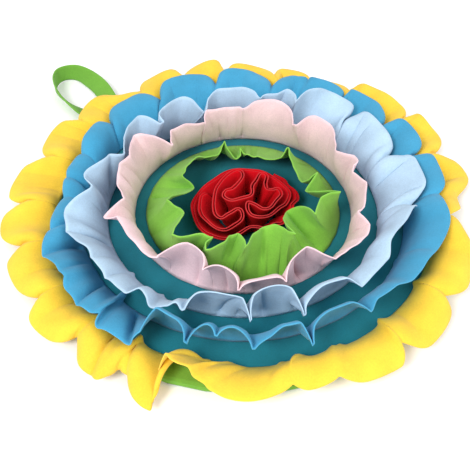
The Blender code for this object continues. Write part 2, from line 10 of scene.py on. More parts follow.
import bmesh
import bpy
import numpy as np
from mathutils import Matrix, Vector


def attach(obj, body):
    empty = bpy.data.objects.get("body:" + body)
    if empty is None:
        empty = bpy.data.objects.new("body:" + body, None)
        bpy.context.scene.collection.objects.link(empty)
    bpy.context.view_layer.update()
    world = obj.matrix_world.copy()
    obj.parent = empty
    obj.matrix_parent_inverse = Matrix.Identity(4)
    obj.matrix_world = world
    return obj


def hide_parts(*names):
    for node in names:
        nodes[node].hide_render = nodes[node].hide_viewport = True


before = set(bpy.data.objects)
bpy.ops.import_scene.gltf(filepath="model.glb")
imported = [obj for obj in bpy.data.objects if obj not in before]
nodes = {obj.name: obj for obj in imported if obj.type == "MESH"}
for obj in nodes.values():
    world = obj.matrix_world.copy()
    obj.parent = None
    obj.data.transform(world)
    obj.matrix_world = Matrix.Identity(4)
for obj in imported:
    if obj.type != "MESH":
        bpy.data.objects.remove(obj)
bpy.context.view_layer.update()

MM = 0.001

# ---- sizes ---------------------------------------------------------------------------------

MAT_THICKNESS = 8 * MM
CLOTH = 1.1 * MM                # fleece of the ruffles
STRIP_WIDTH = 55 * MM
SEAM_HEIGHT = MAT_THICKNESS + 0.4 * MM
LAYER = 1.1 * MM                # each of the two layers of the rosette's folded strip
LAYER_SPACING = 2.0 * MM
FOOT = 2.2 * MM                 # how far each layer splays where it turns up from the seam
ROSETTE_CENTRE = (3 * MM, -5 * MM)
ROSETTE_SEAM_SCALE = 0.66
ROSETTE_SECTIONS = 1100
ROSETTE_UP = 14

# Each row is one place along the rosette's strip: x and y of its free edge from the rosette's
# middle, and the height of that edge over the mat, mm.
ROSETTE_PATH = (
    (-40, 9, 17), (-45, 3, 18), (-46, -11, 19), (-42, -27, 20), (-33, -39, 21), (-20, -45, 22),
    (-9, -40, 24), (-4, -32, 26), (-5, -25, 27), (-10, -23, 27), (-17, -28, 26), (-24, -33, 25),
    (-30, -27, 25), (-32, -15, 25), (-31, 0, 25), (-28, 13, 24), (-22, 26, 24), (-12, 35, 24),
    (-5, 34, 25), (-3, 25, 27), (-7, 15, 28), (-13, 5, 29), (-20, 1, 29), (-22, -7, 29),
    (-16, -13, 30), (-8, -13, 31), (2, -9, 31), (6, -3, 31), (7, 8, 30), (11, 20, 28),
    (15, 29, 26), (21, 27, 25), (20, 15, 26), (21, 5, 27), (26, 6, 26), (32, 8, 25), (35, 1, 24),
    (30, -9, 26), (24, -20, 27), (16, -23, 28), (8, -18, 29), (2, -16, 29), (1, -23, 28),
    (5, -30, 27), (13, -33, 26), (23, -28, 24), (33, -16, 22), (40, -6, 19), (44, 8, 18),
    (38, 20, 18), (29, 30, 19), (17, 38, 20), (4, 41, 20), (-9, 43, 19), (-22, 38, 18),
    (-34, 28, 17), (-44, 17, 16), (-51, 5, 15), (-53, -10, 15), (-49, -29, 15), (-39, -44, 16),
    (-22, -52, 17), (-8, -49, 19), (4, -41, 21), (12, -41, 21), (19, -43, 19), (27, -35, 19),
    (35, -33, 18), (39, -24, 18), (47, -18, 16), (46, -7, 16), (52, 3, 15), (50, 15, 14),
    (43, 23, 15), (39, 32, 15), (29, 38, 16),
)

# Each row of a fold table is one ridge or one hollow of a strip.
#   at    place on the seam circle, degrees anticlockwise from +X
#   lean  slope of the strip there: 0 lies outwards, 90 stands up, 180 lies inwards
#   curl  degrees that the strip would bend over if its free edge came as near its seam
#         without being gathered in
#   sway  degrees that the strip leans sideways, anticlockwise

YELLOW_FOLDS = (
    (3, 6, 200, 0), (11, 2, 20, 0), (20, 8, 190, 0), (28, 10, 20, 0), (32, 18, 20, 0),
    (36, 10, 130, 0), (41, 12, 30, 0), (47, 18, 20, 0), (51, 18, 20, 0), (56, 8, 130, 0),
    (62, 4, 80, 0), (69, 6, 110, 0), (76, 6, 10, 0), (80, 10, 170, 0), (84, 6, 80, 0),
    (90, 10, 10, 0), (95, 8, 200, 0), (99, 20, 20, 0), (103, 14, 60, 0), (108, 8, 120, 0),
    (113, 14, 20, 0), (118, 8, 70, 0), (123, 8, 170, 0), (129, 6, 130, 0), (135, 12, 20, 0),
    (140, 8, 80, 0), (145, 10, 150, 0), (150, 8, 20, 0), (156, 4, 80, 0), (162, 8, 210, 0),
    (170, 2, 20, 0), (176, 4, 60, 0), (180, 8, 200, 0), (187, 3, 50, 0), (195, 8, 200, 0),
    (201, 4, 110, 0), (206, 4, 120, 0), (213, 8, 205, 0), (219, 4, 95, 0), (223, 4, 120, 0),
    (228, 5, 215, 0), (231, 5, 175, 3), (234, 5, 112, 6), (237, 5, 100, 4), (239.5, 5, 150, 0),
    (241.5, 6, 200, 0), (243.5, 5, 175, 8), (245.5, 3, 80, 14), (247.5, 1, 10, 16),
    (249.2, 2, 120, 8), (250.8, 36, 205, 2), (252.4, 58, 150, 0), (254, 62, 110, -4),
    (255.3, 58, 95, -6), (256.6, 56, 95, -6), (258, 55, 115, -4), (260, 46, 135, -3),
    (262.5, 39, 140, -3), (265.5, 33, 120, -8), (268.5, 26, 120, -9), (272, 22, 130, -5),
    (276, 24, 160, 0), (280, 34, 170, 0), (284, 24, 155, 0), (290, 30, 165, 0), (297, 12, 140, 0),
    (303, 10, 130, 0), (307, 30, 180, 0), (314, 8, 125, 0), (321, 10, 145, 0), (326, 20, 200, 0),
    (333, 12, 140, 0), (339, 12, 140, 0), (345, 40, 180, 0), (351, 60, 210, 0),
)

BLUE_FOLDS = (
    (5, 32, 100, 0), (12, 30, 85, 0), (18, 32, 180, 0), (23, 30, 95, 0), (29, 30, 40, 0),
    (35, 32, 185, 0), (41, 28, 95, 0), (46, 26, 10, 0), (51, 28, 10, 0), (54, 22, 130, 0),
    (60, 24, 30, 0), (65, 26, 5, 0), (68, 22, 60, 0), (71, 22, 10, 0), (75, 22, 110, 0),
    (79, 20, 190, 0), (86, 22, 100, 0), (91, 24, 10, 0), (95, 22, 75, 0), (99, 20, 160, 0),
    (105, 22, 60, 0), (110, 22, 10, 0), (113, 22, 40, 0), (120, 20, 200, 0), (129, 22, 115, 0),
    (134, 22, 115, 0), (141, 24, 200, 0), (147, 36, 160, 0), (153, 50, 168, 0), (161, 50, 215, 0),
    (170, 50, 200, 0), (176, 50, 210, 0), (182, 52, 220, 0), (188, 50, 200, 0), (198, 46, 145, 0),
    (205.5, 40, 60, 0), (212, 47, 80, 0), (217, 47, 90, 0), (222, 38, 70, 0), (228, 38, 80, 0),
    (231.5, 42, 120, 0), (235, 32, 70, 0), (240, 32, 80, 0), (244, 46, 95, 0), (247, 72, 80, 0),
    (251, 68, 80, 0), (256, 50, 80, 0), (260, 69, 80, 0), (263, 60, 80, 0), (267, 68, 80, 0),
    (272, 50, 80, 0), (277, 58, 80, 0), (280, 67, 80, 0), (283, 67, 80, 0), (286, 46, 80, 0),
    (289, 62, 80, 0), (294, 71, 80, 0), (298, 70, 80, 0), (303, 55, 80, 0), (308, 61, 80, 0),
    (315, 60, 80, 0), (321, 52, 80, 0), (326, 52, 90, 0), (333, 46, 110, 0), (339, 42, 90, 0),
    (346, 38, 80, 0), (353, 34, 120, 0), (359, 33, 150, 0),
)

SKY_FOLDS = (
    (4, 32, 20, 0), (11, 32, 20, 0), (15, 32, 130, 0), (20, 33, 180, 0), (26, 34, 130, 0),
    (30, 34, 90, 0), (38, 34, 40, 0), (42, 33, 120, 0), (45.5, 33, 185, 0), (48, 34, 70, 0),
    (51, 38, 25, 0), (55, 44, 25, 0), (59, 78, 20, 0), (62, 106, 20, 0), (66, 95, 20, 0),
    (70, 88, 20, 0), (72.5, 99, 20, 0), (76, 103, 20, 0), (80.5, 111, 20, 0), (86, 100, 20, 0),
    (93.5, 94, 20, 0), (100, 95, 20, 0), (105, 105, 20, 0), (109, 120, 20, 0), (113, 124, 20, 0),
    (117, 103, 20, 0), (122, 94, 20, 0), (128, 97, 20, 0), (133, 104, 20, 0), (137, 115, 20, 0),
    (140, 115, 20, 0), (142.5, 98, 20, 0), (145.5, 90, 20, 0), (149, 91, 20, 0), (154, 96, 20, 0),
    (161, 101, 25, 0), (169, 107, 25, 0), (172.5, 96, 25, 0), (176, 84, 25, 0), (180, 72, 25, 0),
    (184, 76, 25, 0), (188, 82, 25, 0), (190.5, 80, 25, 0), (192.5, 60, 30, 0),
    (194.5, 49, 30, 0), (199, 46, 30, 0), (204, 45, 30, 0), (209, 48, 35, 0), (215, 55, 40, 0),
    (220.5, 52, 50, 0), (226, 49, 60, 0), (232, 47, 60, 0), (235.5, 57, 60, 0), (238, 54, 60, 0),
    (241.5, 47, 60, 0), (246, 48, 60, 0), (249.5, 56, 75, 0), (252, 55, 90, 0), (257, 72, 90, 0),
    (262, 77, 90, 0), (268, 73, 90, 0), (271.5, 52, 90, 0), (275, 76, 90, 0), (280, 84, 80, 0),
    (284, 78, 80, 0), (287, 50, 90, 0), (291, 60, 90, 0), (297, 70, 90, 0), (302, 67, 90, 0),
    (307, 53, 90, 0), (316, 56, 90, 0), (322, 56, 90, 0), (328, 66, 90, 0), (338, 60, 90, 0),
    (346, 52, 95, 0), (353, 36, 170, 0), (359, 33, 110, 0),
)

PINK_FOLDS = (
    (3, 93, 25, 0), (8, 87, 25, 0), (11.5, 88, 25, 0), (14, 98, 25, 0), (17, 103, 25, 0),
    (21, 100, 20, 0), (26.5, 97, 20, 0), (32, 92, 20, 0), (38.5, 86, 20, 0), (45, 87, 20, 0),
    (48.5, 94, 20, 0), (51, 111, 20, 0), (54, 113, 20, 0), (58, 105, 20, 0), (65, 90, 20, 0),
    (72, 84, 20, 0), (81, 92, 20, 0), (87, 103, 20, 0), (90, 107, 20, 0), (93, 102, 20, 0),
    (101, 101, 20, 0), (110, 100, 20, 0), (113.5, 105, 20, 0), (117, 116, 20, 0),
    (121, 115, 20, 0), (130, 107, 20, 0), (138, 105, 20, 0), (143, 109, 20, 0), (147, 114, 20, 0),
    (149.5, 119, 20, 0), (151.5, 105, 20, 0), (154, 79, 20, 0), (158, 68, 20, 0),
    (166, 72, 20, 0), (174, 78, 20, 0), (184, 76, 70, 0), (192, 80, 60, 0), (199, 82, 60, 0),
    (204, 54, 60, 0), (209, 66, 60, 0), (220, 64, 60, 0), (230, 62, 60, 0), (235, 66, 60, 0),
    (239, 86, 60, 0), (243, 95, 60, 0), (249, 88, 60, 0), (254, 70, 60, 0), (260, 77, 60, 0),
    (264, 70, 60, 0), (268, 56, 60, 0), (274, 62, 60, 0), (280, 64, 60, 0), (285, 59, 60, 0),
    (289, 72, 60, 0), (293, 82, 60, 0), (298, 87, 60, 0), (302, 72, 60, 0), (306, 63, 60, 0),
    (315, 63, 60, 0), (322, 60, 60, 0), (326, 60, 50, 0), (330, 63, 40, 0), (332.5, 80, 30, 0),
    (336, 78, 25, 0), (342, 80, 25, 0), (349, 81, 25, 0), (353, 88, 25, 0), (357, 95, 25, 0),
)

GREEN_FOLDS = (
    (3, 124, 30, -8), (5, 118, 30, -5), (8, 124, 30, -8), (11, 131, 30, -12), (15, 139, 30, -12),
    (20, 143, 30, -8), (26, 141, 30, -3), (34, 136, 30, 2), (41, 128, 30, 3), (46, 134, 30, -2),
    (51, 142, 30, -4), (57, 147, 30, -4), (66, 151, 30, 0), (77, 150, 30, 4), (84, 147, 30, 4),
    (90, 143, 30, 3), (94, 151, 30, 0), (98, 154, 30, 0), (103, 144, 30, 0), (109, 133, 30, -1),
    (113, 138, 30, -1), (118, 145, 30, 1), (128, 142, 30, 6), (138, 136, 30, 8),
    (150, 136, 30, 10), (159, 136, 30, 12), (164, 145, 30, 7), (170, 155, 30, 1),
    (176, 148, 30, 8), (182, 135, 30, 15), (188, 124, 30, 16), (194, 116, 30, 14),
    (199, 109, 30, 14), (204, 112, 30, 15), (208, 117, 30, 15), (212, 116, 30, 16),
    (216, 104, 30, 18), (221, 89, 30, 16), (227, 81, 30, 12), (232, 82, 30, 8), (238, 88, 30, 5),
    (243, 97, 30, 6), (247, 96, 30, 7), (250, 86, 30, 0), (252.5, 79, 30, -1), (256, 82, 30, 0),
    (260, 92, 30, 1), (263, 104, 30, -2), (266, 107, 30, -2), (269, 97, 30, -1),
    (272, 86, 30, -3), (275, 91, 30, -4), (280, 106, 30, -4), (285, 118, 30, 0),
    (289, 116, 30, 2), (293, 104, 30, 1), (297, 97, 30, -3), (300.5, 91, 30, -5),
    (304, 96, 30, -8), (308, 112, 30, -11), (312, 129, 30, -8), (316, 142, 30, 0),
    (320, 128, 30, 0), (324, 114, 30, -6), (328, 102, 30, -16), (332, 106, 30, -12),
    (336, 109, 30, -4), (340, 103, 30, -5), (343.5, 97, 30, -8), (347, 92, 30, -11),
    (350.5, 97, 30, -13), (354, 118, 30, -15), (358, 134, 30, -13),
)

# ---- cloth strips --------------------------------------------------------------------------

REST_SPACE = 5 * MM
REST_CHECKS = 180
REST_POINTS = 14
MOST_RAISE = 60

SECTIONS = 1200                 # round a ring
EDGE_POINTS = 1440              # of a free edge
GATHER = 0.9                    # 1 spaces the seam evenly along the free edge, 0 not at all
ACROSS = 16                     # quads from seam to free edge
LEAST_BEND = radians(16)        # of a strip that is drawn out flat
WIDEST_LOBE = 16                # lobes wider than this flare no more, degrees
LOBE_SHAPE = 0.6                # below 1 a lobe is flat in its middle and steep at its ends
FRONT_LEAN = 0.7                # how far the notches nearest the viewer lean clockwise
NOTCH_WIDTH = 1.3               # of the crease at a notch, degrees
NOTCH_REACH = 2.5               # share of the strip's width at which it would have run out
TUCK_WIDTH = 1.6                # of the leaning ridge at a notch, degrees
CREASE_SHAPE = 1.3              # 1 makes a crease's sides straight, 2 makes it round
CREASE_FADE = 0.8               # below 1 a crease keeps its depth longer
SEAM_FADE = 12                  # a crease starts within 1 / 12 of the strip's width of the seam
MIDDLE_SWELL = 0.7              # share of a lobe's swelling halfway out
EDGE_SWELL = 0.5                # share of it at the free edge
FACING_STEEPNESS = 3            # how fast a crease turns over where the cloth turns away
GATHER_WIDTHS = (0.7, 1.3)      # degrees
GATHER_DEPTHS = (0.3, 1.5)      # mm
GATHER_REACHES = (0.12, 0.4)    # shares of the strip's width
MOST_SHIFT = 9                  # of the seam along the free edge, degrees
RIPPLE = 0.4 * MM               # of the free edge between its folds
DEEP_NOTCH = 0.15               # how much shorter than its lobes such a notch looks

ELEVATION = radians(47.5)       # of the camera above the horizon
VIEW_UP = np.array((0, sin(ELEVATION), cos(ELEVATION)))
TO_VIEWER = np.array((0, -cos(ELEVATION), sin(ELEVATION)))


def strip_profile(lean, curl, fullness, steps):
    """Reach and rise of a strip from its seam; lean and curl may be arrays, in degrees."""
    half = np.radians(np.maximum(curl, 0.1))[..., None] / 2
    chord = STRIP_WIDTH * np.sin(half) / half
    bend = 2 * half * fullness
    radius = chord / (2 * np.sin(bend / 2))
    start = np.radians(lean)[..., None] + bend / 2
    turns = start - bend * np.arange(steps + 1) / steps
    return radius * (np.sin(start) - np.sin(turns)), radius * (np.cos(turns) - np.cos(start))


def seen_length(rows):
    """How long the strip looks at each row from where the folds were read, as a share."""
    bend = np.radians(np.maximum(rows[:, 2], 0.1)) / 2
    chord = np.sin(bend) / bend
    reach = chord * np.cos(np.radians(rows[:, 1]))
    rise = chord * np.sin(np.radians(rows[:, 1]))
    at = np.radians(rows[:, 0])
    return np.hypot(reach * np.cos(at), reach * np.sin(at) * VIEW_UP[1] + rise * VIEW_UP[2])


def is_notch(rows):
    length = seen_length(rows)
    return (length < np.roll(length, 1)) & (length < np.roll(length, -1))


def notches(rows):
    """Azimuth of each notch, and how much shorter it looks than the lobes beside it."""
    length = seen_length(rows)
    low = np.flatnonzero(is_notch(rows))
    ends = np.append(low[1:], low[0] + len(rows))
    peaks = np.array([length[np.arange(a, b) % len(rows)].max() for a, b in zip(low, ends)])
    return rows[low, 0], np.minimum(peaks, np.roll(peaks, 1)) - length[low]


def lobe_share(low, azimuths):
    """Which lobe each azimuth is on, and how far across that lobe, from 0 to 1."""
    run = np.diff(np.append(low, low[0] + 360))
    places = low[0] + (azimuths - low[0]) % 360
    i = np.searchsorted(low, places, side="right") - 1
    return run[i], (places - low[i]) / run[i]


def fold_values(rows, azimuths, sharpness):
    """Lean, curl and sway at many azimuths, round at the lobes and sharp at the notches."""
    count = len(rows)
    at = rows[:, 0]
    run = np.diff(np.append(at, at[0] + 360))
    notch = is_notch(rows)
    places = at[0] + (azimuths - at[0]) % 360
    i = np.searchsorted(at, places, side="right") - 1
    j = (i + 1) % count
    h = run[i]
    t = (places - at[i]) / h
    values = []
    for c in (1, 2, 3):
        y = rows[:, c]
        secant = (np.roll(y, -1) - y) / run
        before = np.roll(secant, 1)
        run_before = np.roll(run, 1)
        w1 = 2 * run + run_before
        w2 = run + 2 * run_before
        same = before * secant > 0
        safe_a = np.where(same, before, 1)
        safe_b = np.where(same, secant, 1)
        middle = np.where(same, (w1 + w2) / (w1 / safe_a + w2 / safe_b), 0.0)
        leave = np.where(notch, sharpness * secant, middle)
        arrive = np.where(notch, sharpness * before, middle)
        m0 = leave[i]
        m1 = arrive[j]
        values.append(y[i] * (2 * t**3 - 3 * t**2 + 1) + h * m0 * (t**3 - 2 * t**2 + t)
                      + y[j] * (3 * t**2 - 2 * t**3) + h * m1 * (t**3 - t**2))
    return values


def lobe_flare(rows, azimuths, flare):
    """Sideways shift of the free edge, in degrees of azimuth, away from lobes to notches."""
    run, t = lobe_share(notches(rows)[0], azimuths)
    return -np.sin(tau * t) * np.minimum(run, WIDEST_LOBE) * flare / tau


def rest_raises(ruffle, rows, outer):
    """Extra lean at even azimuths that keeps a strip clear of the one outside it."""
    places = np.arange(REST_CHECKS) * 360 / REST_CHECKS
    fullness = ruffle["fullness"]
    seam_radius = ruffle["radius"]
    lean, curl, _ = fold_values(rows, places, ruffle["sharpness"])
    needs = np.zeros(REST_CHECKS)
    for i in range(REST_CHECKS):
        while outer is not None and needs[i] < MOST_RAISE:
            reach, rise = strip_profile(lean[i] + needs[i], curl[i], fullness, REST_POINTS)
            line = np.stack([seam_radius + reach, rise], axis=-1)
            apart = line[:, None] - outer[i][None]
            if np.sqrt((apart**2).sum(axis=2)).min() >= REST_SPACE:
                break
            needs[i] += 1
    peaks = np.maximum(needs, np.maximum(np.roll(needs, 1), np.roll(needs, -1)))
    needs = np.maximum(needs, (peaks + np.roll(peaks, 1) + np.roll(peaks, -1)) / 3)
    reach, rise = strip_profile(lean + needs, curl, fullness, REST_POINTS)
    return needs, np.stack([seam_radius + reach, rise], axis=-1)


def smooth_noise(rng, count, waves):
    """A smooth closed random curve with about that many waves round, from -1 to 1."""
    angle = np.arange(count) * tau / count
    total = np.zeros(count)
    for _ in range(7):
        turns = max(1, int(waves * rng.uniform(0.6, 1.4)))
        total += rng.uniform(0.5, 1.0) * np.sin(turns * angle + rng.uniform(0, tau))
    return total / 3.0


def grid_normals(points):
    """Unit normals of a grid of points closed along its first axis."""
    around = np.roll(points, -1, axis=0) - np.roll(points, 1, axis=0)
    across = np.gradient(points, axis=1)
    normal = np.cross(around, across)
    return normal / np.maximum(np.linalg.norm(normal, axis=2, keepdims=True), 1e-12)


def sheet_mesh(name, points, thickness, materials, closed=True, two_edges=False):
    """A closed sheet around a grid of middle points; its cut edges take the second material."""
    if closed:
        normal = grid_normals(points)
    else:
        around = np.gradient(points, axis=0)
        across = np.gradient(points, axis=1)
        normal = np.cross(around, across)
        normal /= np.maximum(np.linalg.norm(normal, axis=2, keepdims=True), 1e-12)
    n, k, _ = points.shape
    half = thickness / 2
    inset = points[:, -1] - points[:, -2]
    inset /= np.maximum(np.linalg.norm(inset, axis=1, keepdims=True), 1e-12)
    top = points + normal * half
    under = points - normal * half
    lip = points[:, -1] + inset * half * 0.6
    parts = [top, lip[:, None], under[:, ::-1]]
    cut = {k - 1, k}
    if two_edges:
        outset = points[:, 0] - points[:, 1]
        outset /= np.maximum(np.linalg.norm(outset, axis=1, keepdims=True), 1e-12)
        parts.append((points[:, 0] + outset * half * 0.6)[:, None])
        cut |= {2 * k, 2 * k + 1}
    loop = np.concatenate(parts, axis=1)
    size = loop.shape[1]
    vertices = loop.reshape(-1, 3)
    faces = []
    kinds = []
    for i in range(n if closed else n - 1):
        j = (i + 1) % n
        for a in range(size):
            b = (a + 1) % size
            faces.append((i * size + a, j * size + a, j * size + b, i * size + b))
            kinds.append(1 if a in cut else 0)
    if not closed:
        faces.append(tuple(range(size)))
        faces.append(tuple((n - 1) * size + a for a in reversed(range(size))))
        kinds += [1, 1]
    mesh = bpy.data.meshes.new(name)
    mesh.from_pydata(vertices.tolist(), [], faces)
    mesh.polygons.foreach_set("material_index", kinds)
    shell = bmesh.new()
    shell.from_mesh(mesh)
    bmesh.ops.recalc_face_normals(shell, faces=shell.faces)
    shell.to_mesh(mesh)
    shell.free()
    mesh.shade_smooth()
    for material in materials:
        mesh.materials.append(material)
    piece = bpy.data.objects.new(name, mesh)
    bpy.context.scene.collection.objects.link(piece)
    return piece


def edge_line(ruffle, rows, raises, rng):
    """The free edge at many azimuths, and how far along it each of them is."""
    azimuths = np.arange(EDGE_POINTS) * 360 / EDGE_POINTS
    lean, curl, sway = fold_values(rows, azimuths, ruffle["sharpness"])
    places = np.arange(REST_CHECKS) * 360 / REST_CHECKS
    lean = lean + np.interp(azimuths, places, raises, period=360)
    reach, rise = (v[:, -1] for v in strip_profile(lean, curl, 1.0, 1))
    side = np.radians(sway)
    span = np.hypot(reach, rise)
    radius = ruffle["radius"] + reach * np.cos(side)
    angle = np.radians(azimuths + lobe_flare(rows, azimuths, ruffle["flare"]))
    angle += span * np.sin(side) / radius
    height = rise * np.cos(side) + RIPPLE * smooth_noise(rng, EDGE_POINTS, 32)
    radius = radius + RIPPLE * smooth_noise(rng, EDGE_POINTS, 28)
    edge = np.stack([radius * np.cos(angle), radius * np.sin(angle), height], axis=-1)
    steps = np.linalg.norm(np.roll(edge, -1, axis=0) - edge, axis=1)
    along = np.concatenate([[0], np.cumsum(steps)[:-1]]) / steps.sum() * 360
    shift = np.clip(GATHER * (along - azimuths - (along - azimuths).mean()), -MOST_SHIFT, MOST_SHIFT)
    return edge, azimuths + shift


def creases(ruffle, rows, edge_seams, seams, share, rng):
    """How far each point is pushed out by the lobes and in by creases and gathers."""
    low, drop = notches(rows)
    even = np.arange(EDGE_POINTS) * 360 / EDGE_POINTS
    low_seams = low + np.interp(low, even, edge_seams - even, period=360)
    listed = [Crease(at, NOTCH_WIDTH, ruffle["valley"] * min(1, fall / DEEP_NOTCH),
                     NOTCH_REACH, 0)
              for at, fall in zip(low_seams, drop)]
    listed += ruffle["creases"]
    for at in np.arange(0, 360, 360 / ruffle["gathers"]):
        at += rng.uniform(-0.4, 0.4) * 360 / ruffle["gathers"]
        listed.append(Crease(at, rng.uniform(*GATHER_WIDTHS), rng.uniform(*GATHER_DEPTHS),
                             rng.uniform(*GATHER_REACHES), 0))
    run, t = lobe_share(np.sort(low_seams % 360), seams)
    swell = ruffle["puff"] * MM * np.maximum(np.sin(pi * t), 0)**LOBE_SHAPE
    swell *= np.minimum(run, WIDEST_LOBE) / WIDEST_LOBE
    push = swell[:, None] * (4 * share * (1 - share) * MIDDLE_SWELL + EDGE_SWELL * share**2)[None]
    for crease in listed:
        off = seams[:, None] - crease.at - crease.slant * share[None]
        off = (off + 180) % 360 - 180
        fade = np.clip(1 - share / crease.reach, 0, 1)**CREASE_FADE
        fade *= np.minimum(share * SEAM_FADE, 1)
        push -= crease.deep * MM * np.exp(-np.abs(off / crease.width)**CREASE_SHAPE) * fade[None]
    waves = smooth_noise(rng, len(seams), 40) * 0.5 * MM
    return push + waves[:, None] * share[None]


def tucks(ruffle, rows, edge_seams, seams, share):
    """Sideways shift that leans the cloth of each notch over its neighbour."""
    low, drop = notches(rows)
    even = np.arange(EDGE_POINTS) * 360 / EDGE_POINTS
    low_seams = low + np.interp(low, even, edge_seams - even, period=360)
    shift = np.zeros(len(seams))
    for at, fall in zip(low_seams, drop):
        off = (seams - at + 180) % 360 - 180
        lean = np.clip(-2 * cos(radians(at)) - FRONT_LEAN * (sin(radians(at)) < -0.7), -1, 1)
        lean *= min(1, fall / DEEP_NOTCH)
        shift += ruffle["tuck"] * MM * lean * np.exp(-((off / TUCK_WIDTH) ** 2))
    return shift[:, None] * np.sin(pi * np.minimum(share * 1.15, 1))[None]


def ruffle_points(ruffle, rows, raises, seed):
    """Middle surface of a gathered strip: seam and free edge paired up by length."""
    rng = np.random.default_rng(seed)
    edge, seam_at = edge_line(ruffle, rows, raises, rng)
    seams = np.arange(SECTIONS) * 360 / SECTIONS
    order = np.argsort(seam_at % 360)
    ends = np.stack([np.interp(seams, (seam_at % 360)[order], edge[order, c], period=360)
                     for c in range(3)], axis=-1)
    angle = np.radians(seams)
    seam_radius = ruffle["radius"] + 0.2 * MM * smooth_noise(rng, SECTIONS, 30)
    out = np.stack([np.cos(angle), np.sin(angle), np.zeros(SECTIONS)], axis=-1)
    round_seam = np.stack([-np.sin(angle), np.cos(angle), np.zeros(SECTIONS)], axis=-1)
    seam = out * seam_radius[:, None]
    chord = ends - seam
    length = np.linalg.norm(chord, axis=1)
    ray = chord / length[:, None]
    bends = np.linspace(LEAST_BEND, 1.9 * pi, 400)
    bend = np.interp(-length / STRIP_WIDTH, -np.sin(bends / 2) / (bends / 2), bends)
    bend *= ruffle["fullness"]
    bulge = np.cross(ray, round_seam)
    bulge /= np.linalg.norm(bulge, axis=1, keepdims=True)
    share = np.arange(ACROSS + 1) / ACROSS
    turn = bend[:, None] * (share[None] - 0.5)
    scale = (length / (2 * np.sin(bend / 2)))[:, None]
    forward = scale * (np.sin(turn) + np.sin(bend / 2)[:, None])
    swell = scale * (np.cos(turn) - np.cos(bend / 2)[:, None])
    points = seam[:, None] + ray[:, None] * forward[..., None]
    points += bulge[:, None] * swell[..., None]
    points[..., 2] += SEAM_HEIGHT + CLOTH / 2
    normal = grid_normals(points)
    facing = np.clip(FACING_STEEPNESS * (normal @ TO_VIEWER), -1, 1)
    push = creases(ruffle, rows, seam_at, seams, share, rng)
    points += normal * (push * facing)[..., None]
    points += round_seam[:, None] * tucks(ruffle, rows, seam_at, seams, share)[..., None]
    points[..., 2] = np.maximum(points[..., 2], SEAM_HEIGHT + CLOTH / 2)
    return points


# ---- materials -----------------------------------------------------------------------------

# Painted shade: the fleece colour is darkened and made stronger where folds and hollows close it in,
# where shade falls.
PAINTED_SHADE_REACH = 14 * MM                # painted shade reaches folds closer than this
PAINTED_SHADE_LEVEL = 0.75             # of the colour where the painted shade is deepest
PAINTED_SHADE_RICHNESS = 1.35          # above 1 the painted shade is also stronger in colour
OPEN = 0.6                      # share of open sky above which no shade is painted
CLOSED = 0.08                   # share of it below which the painted shade is deepest
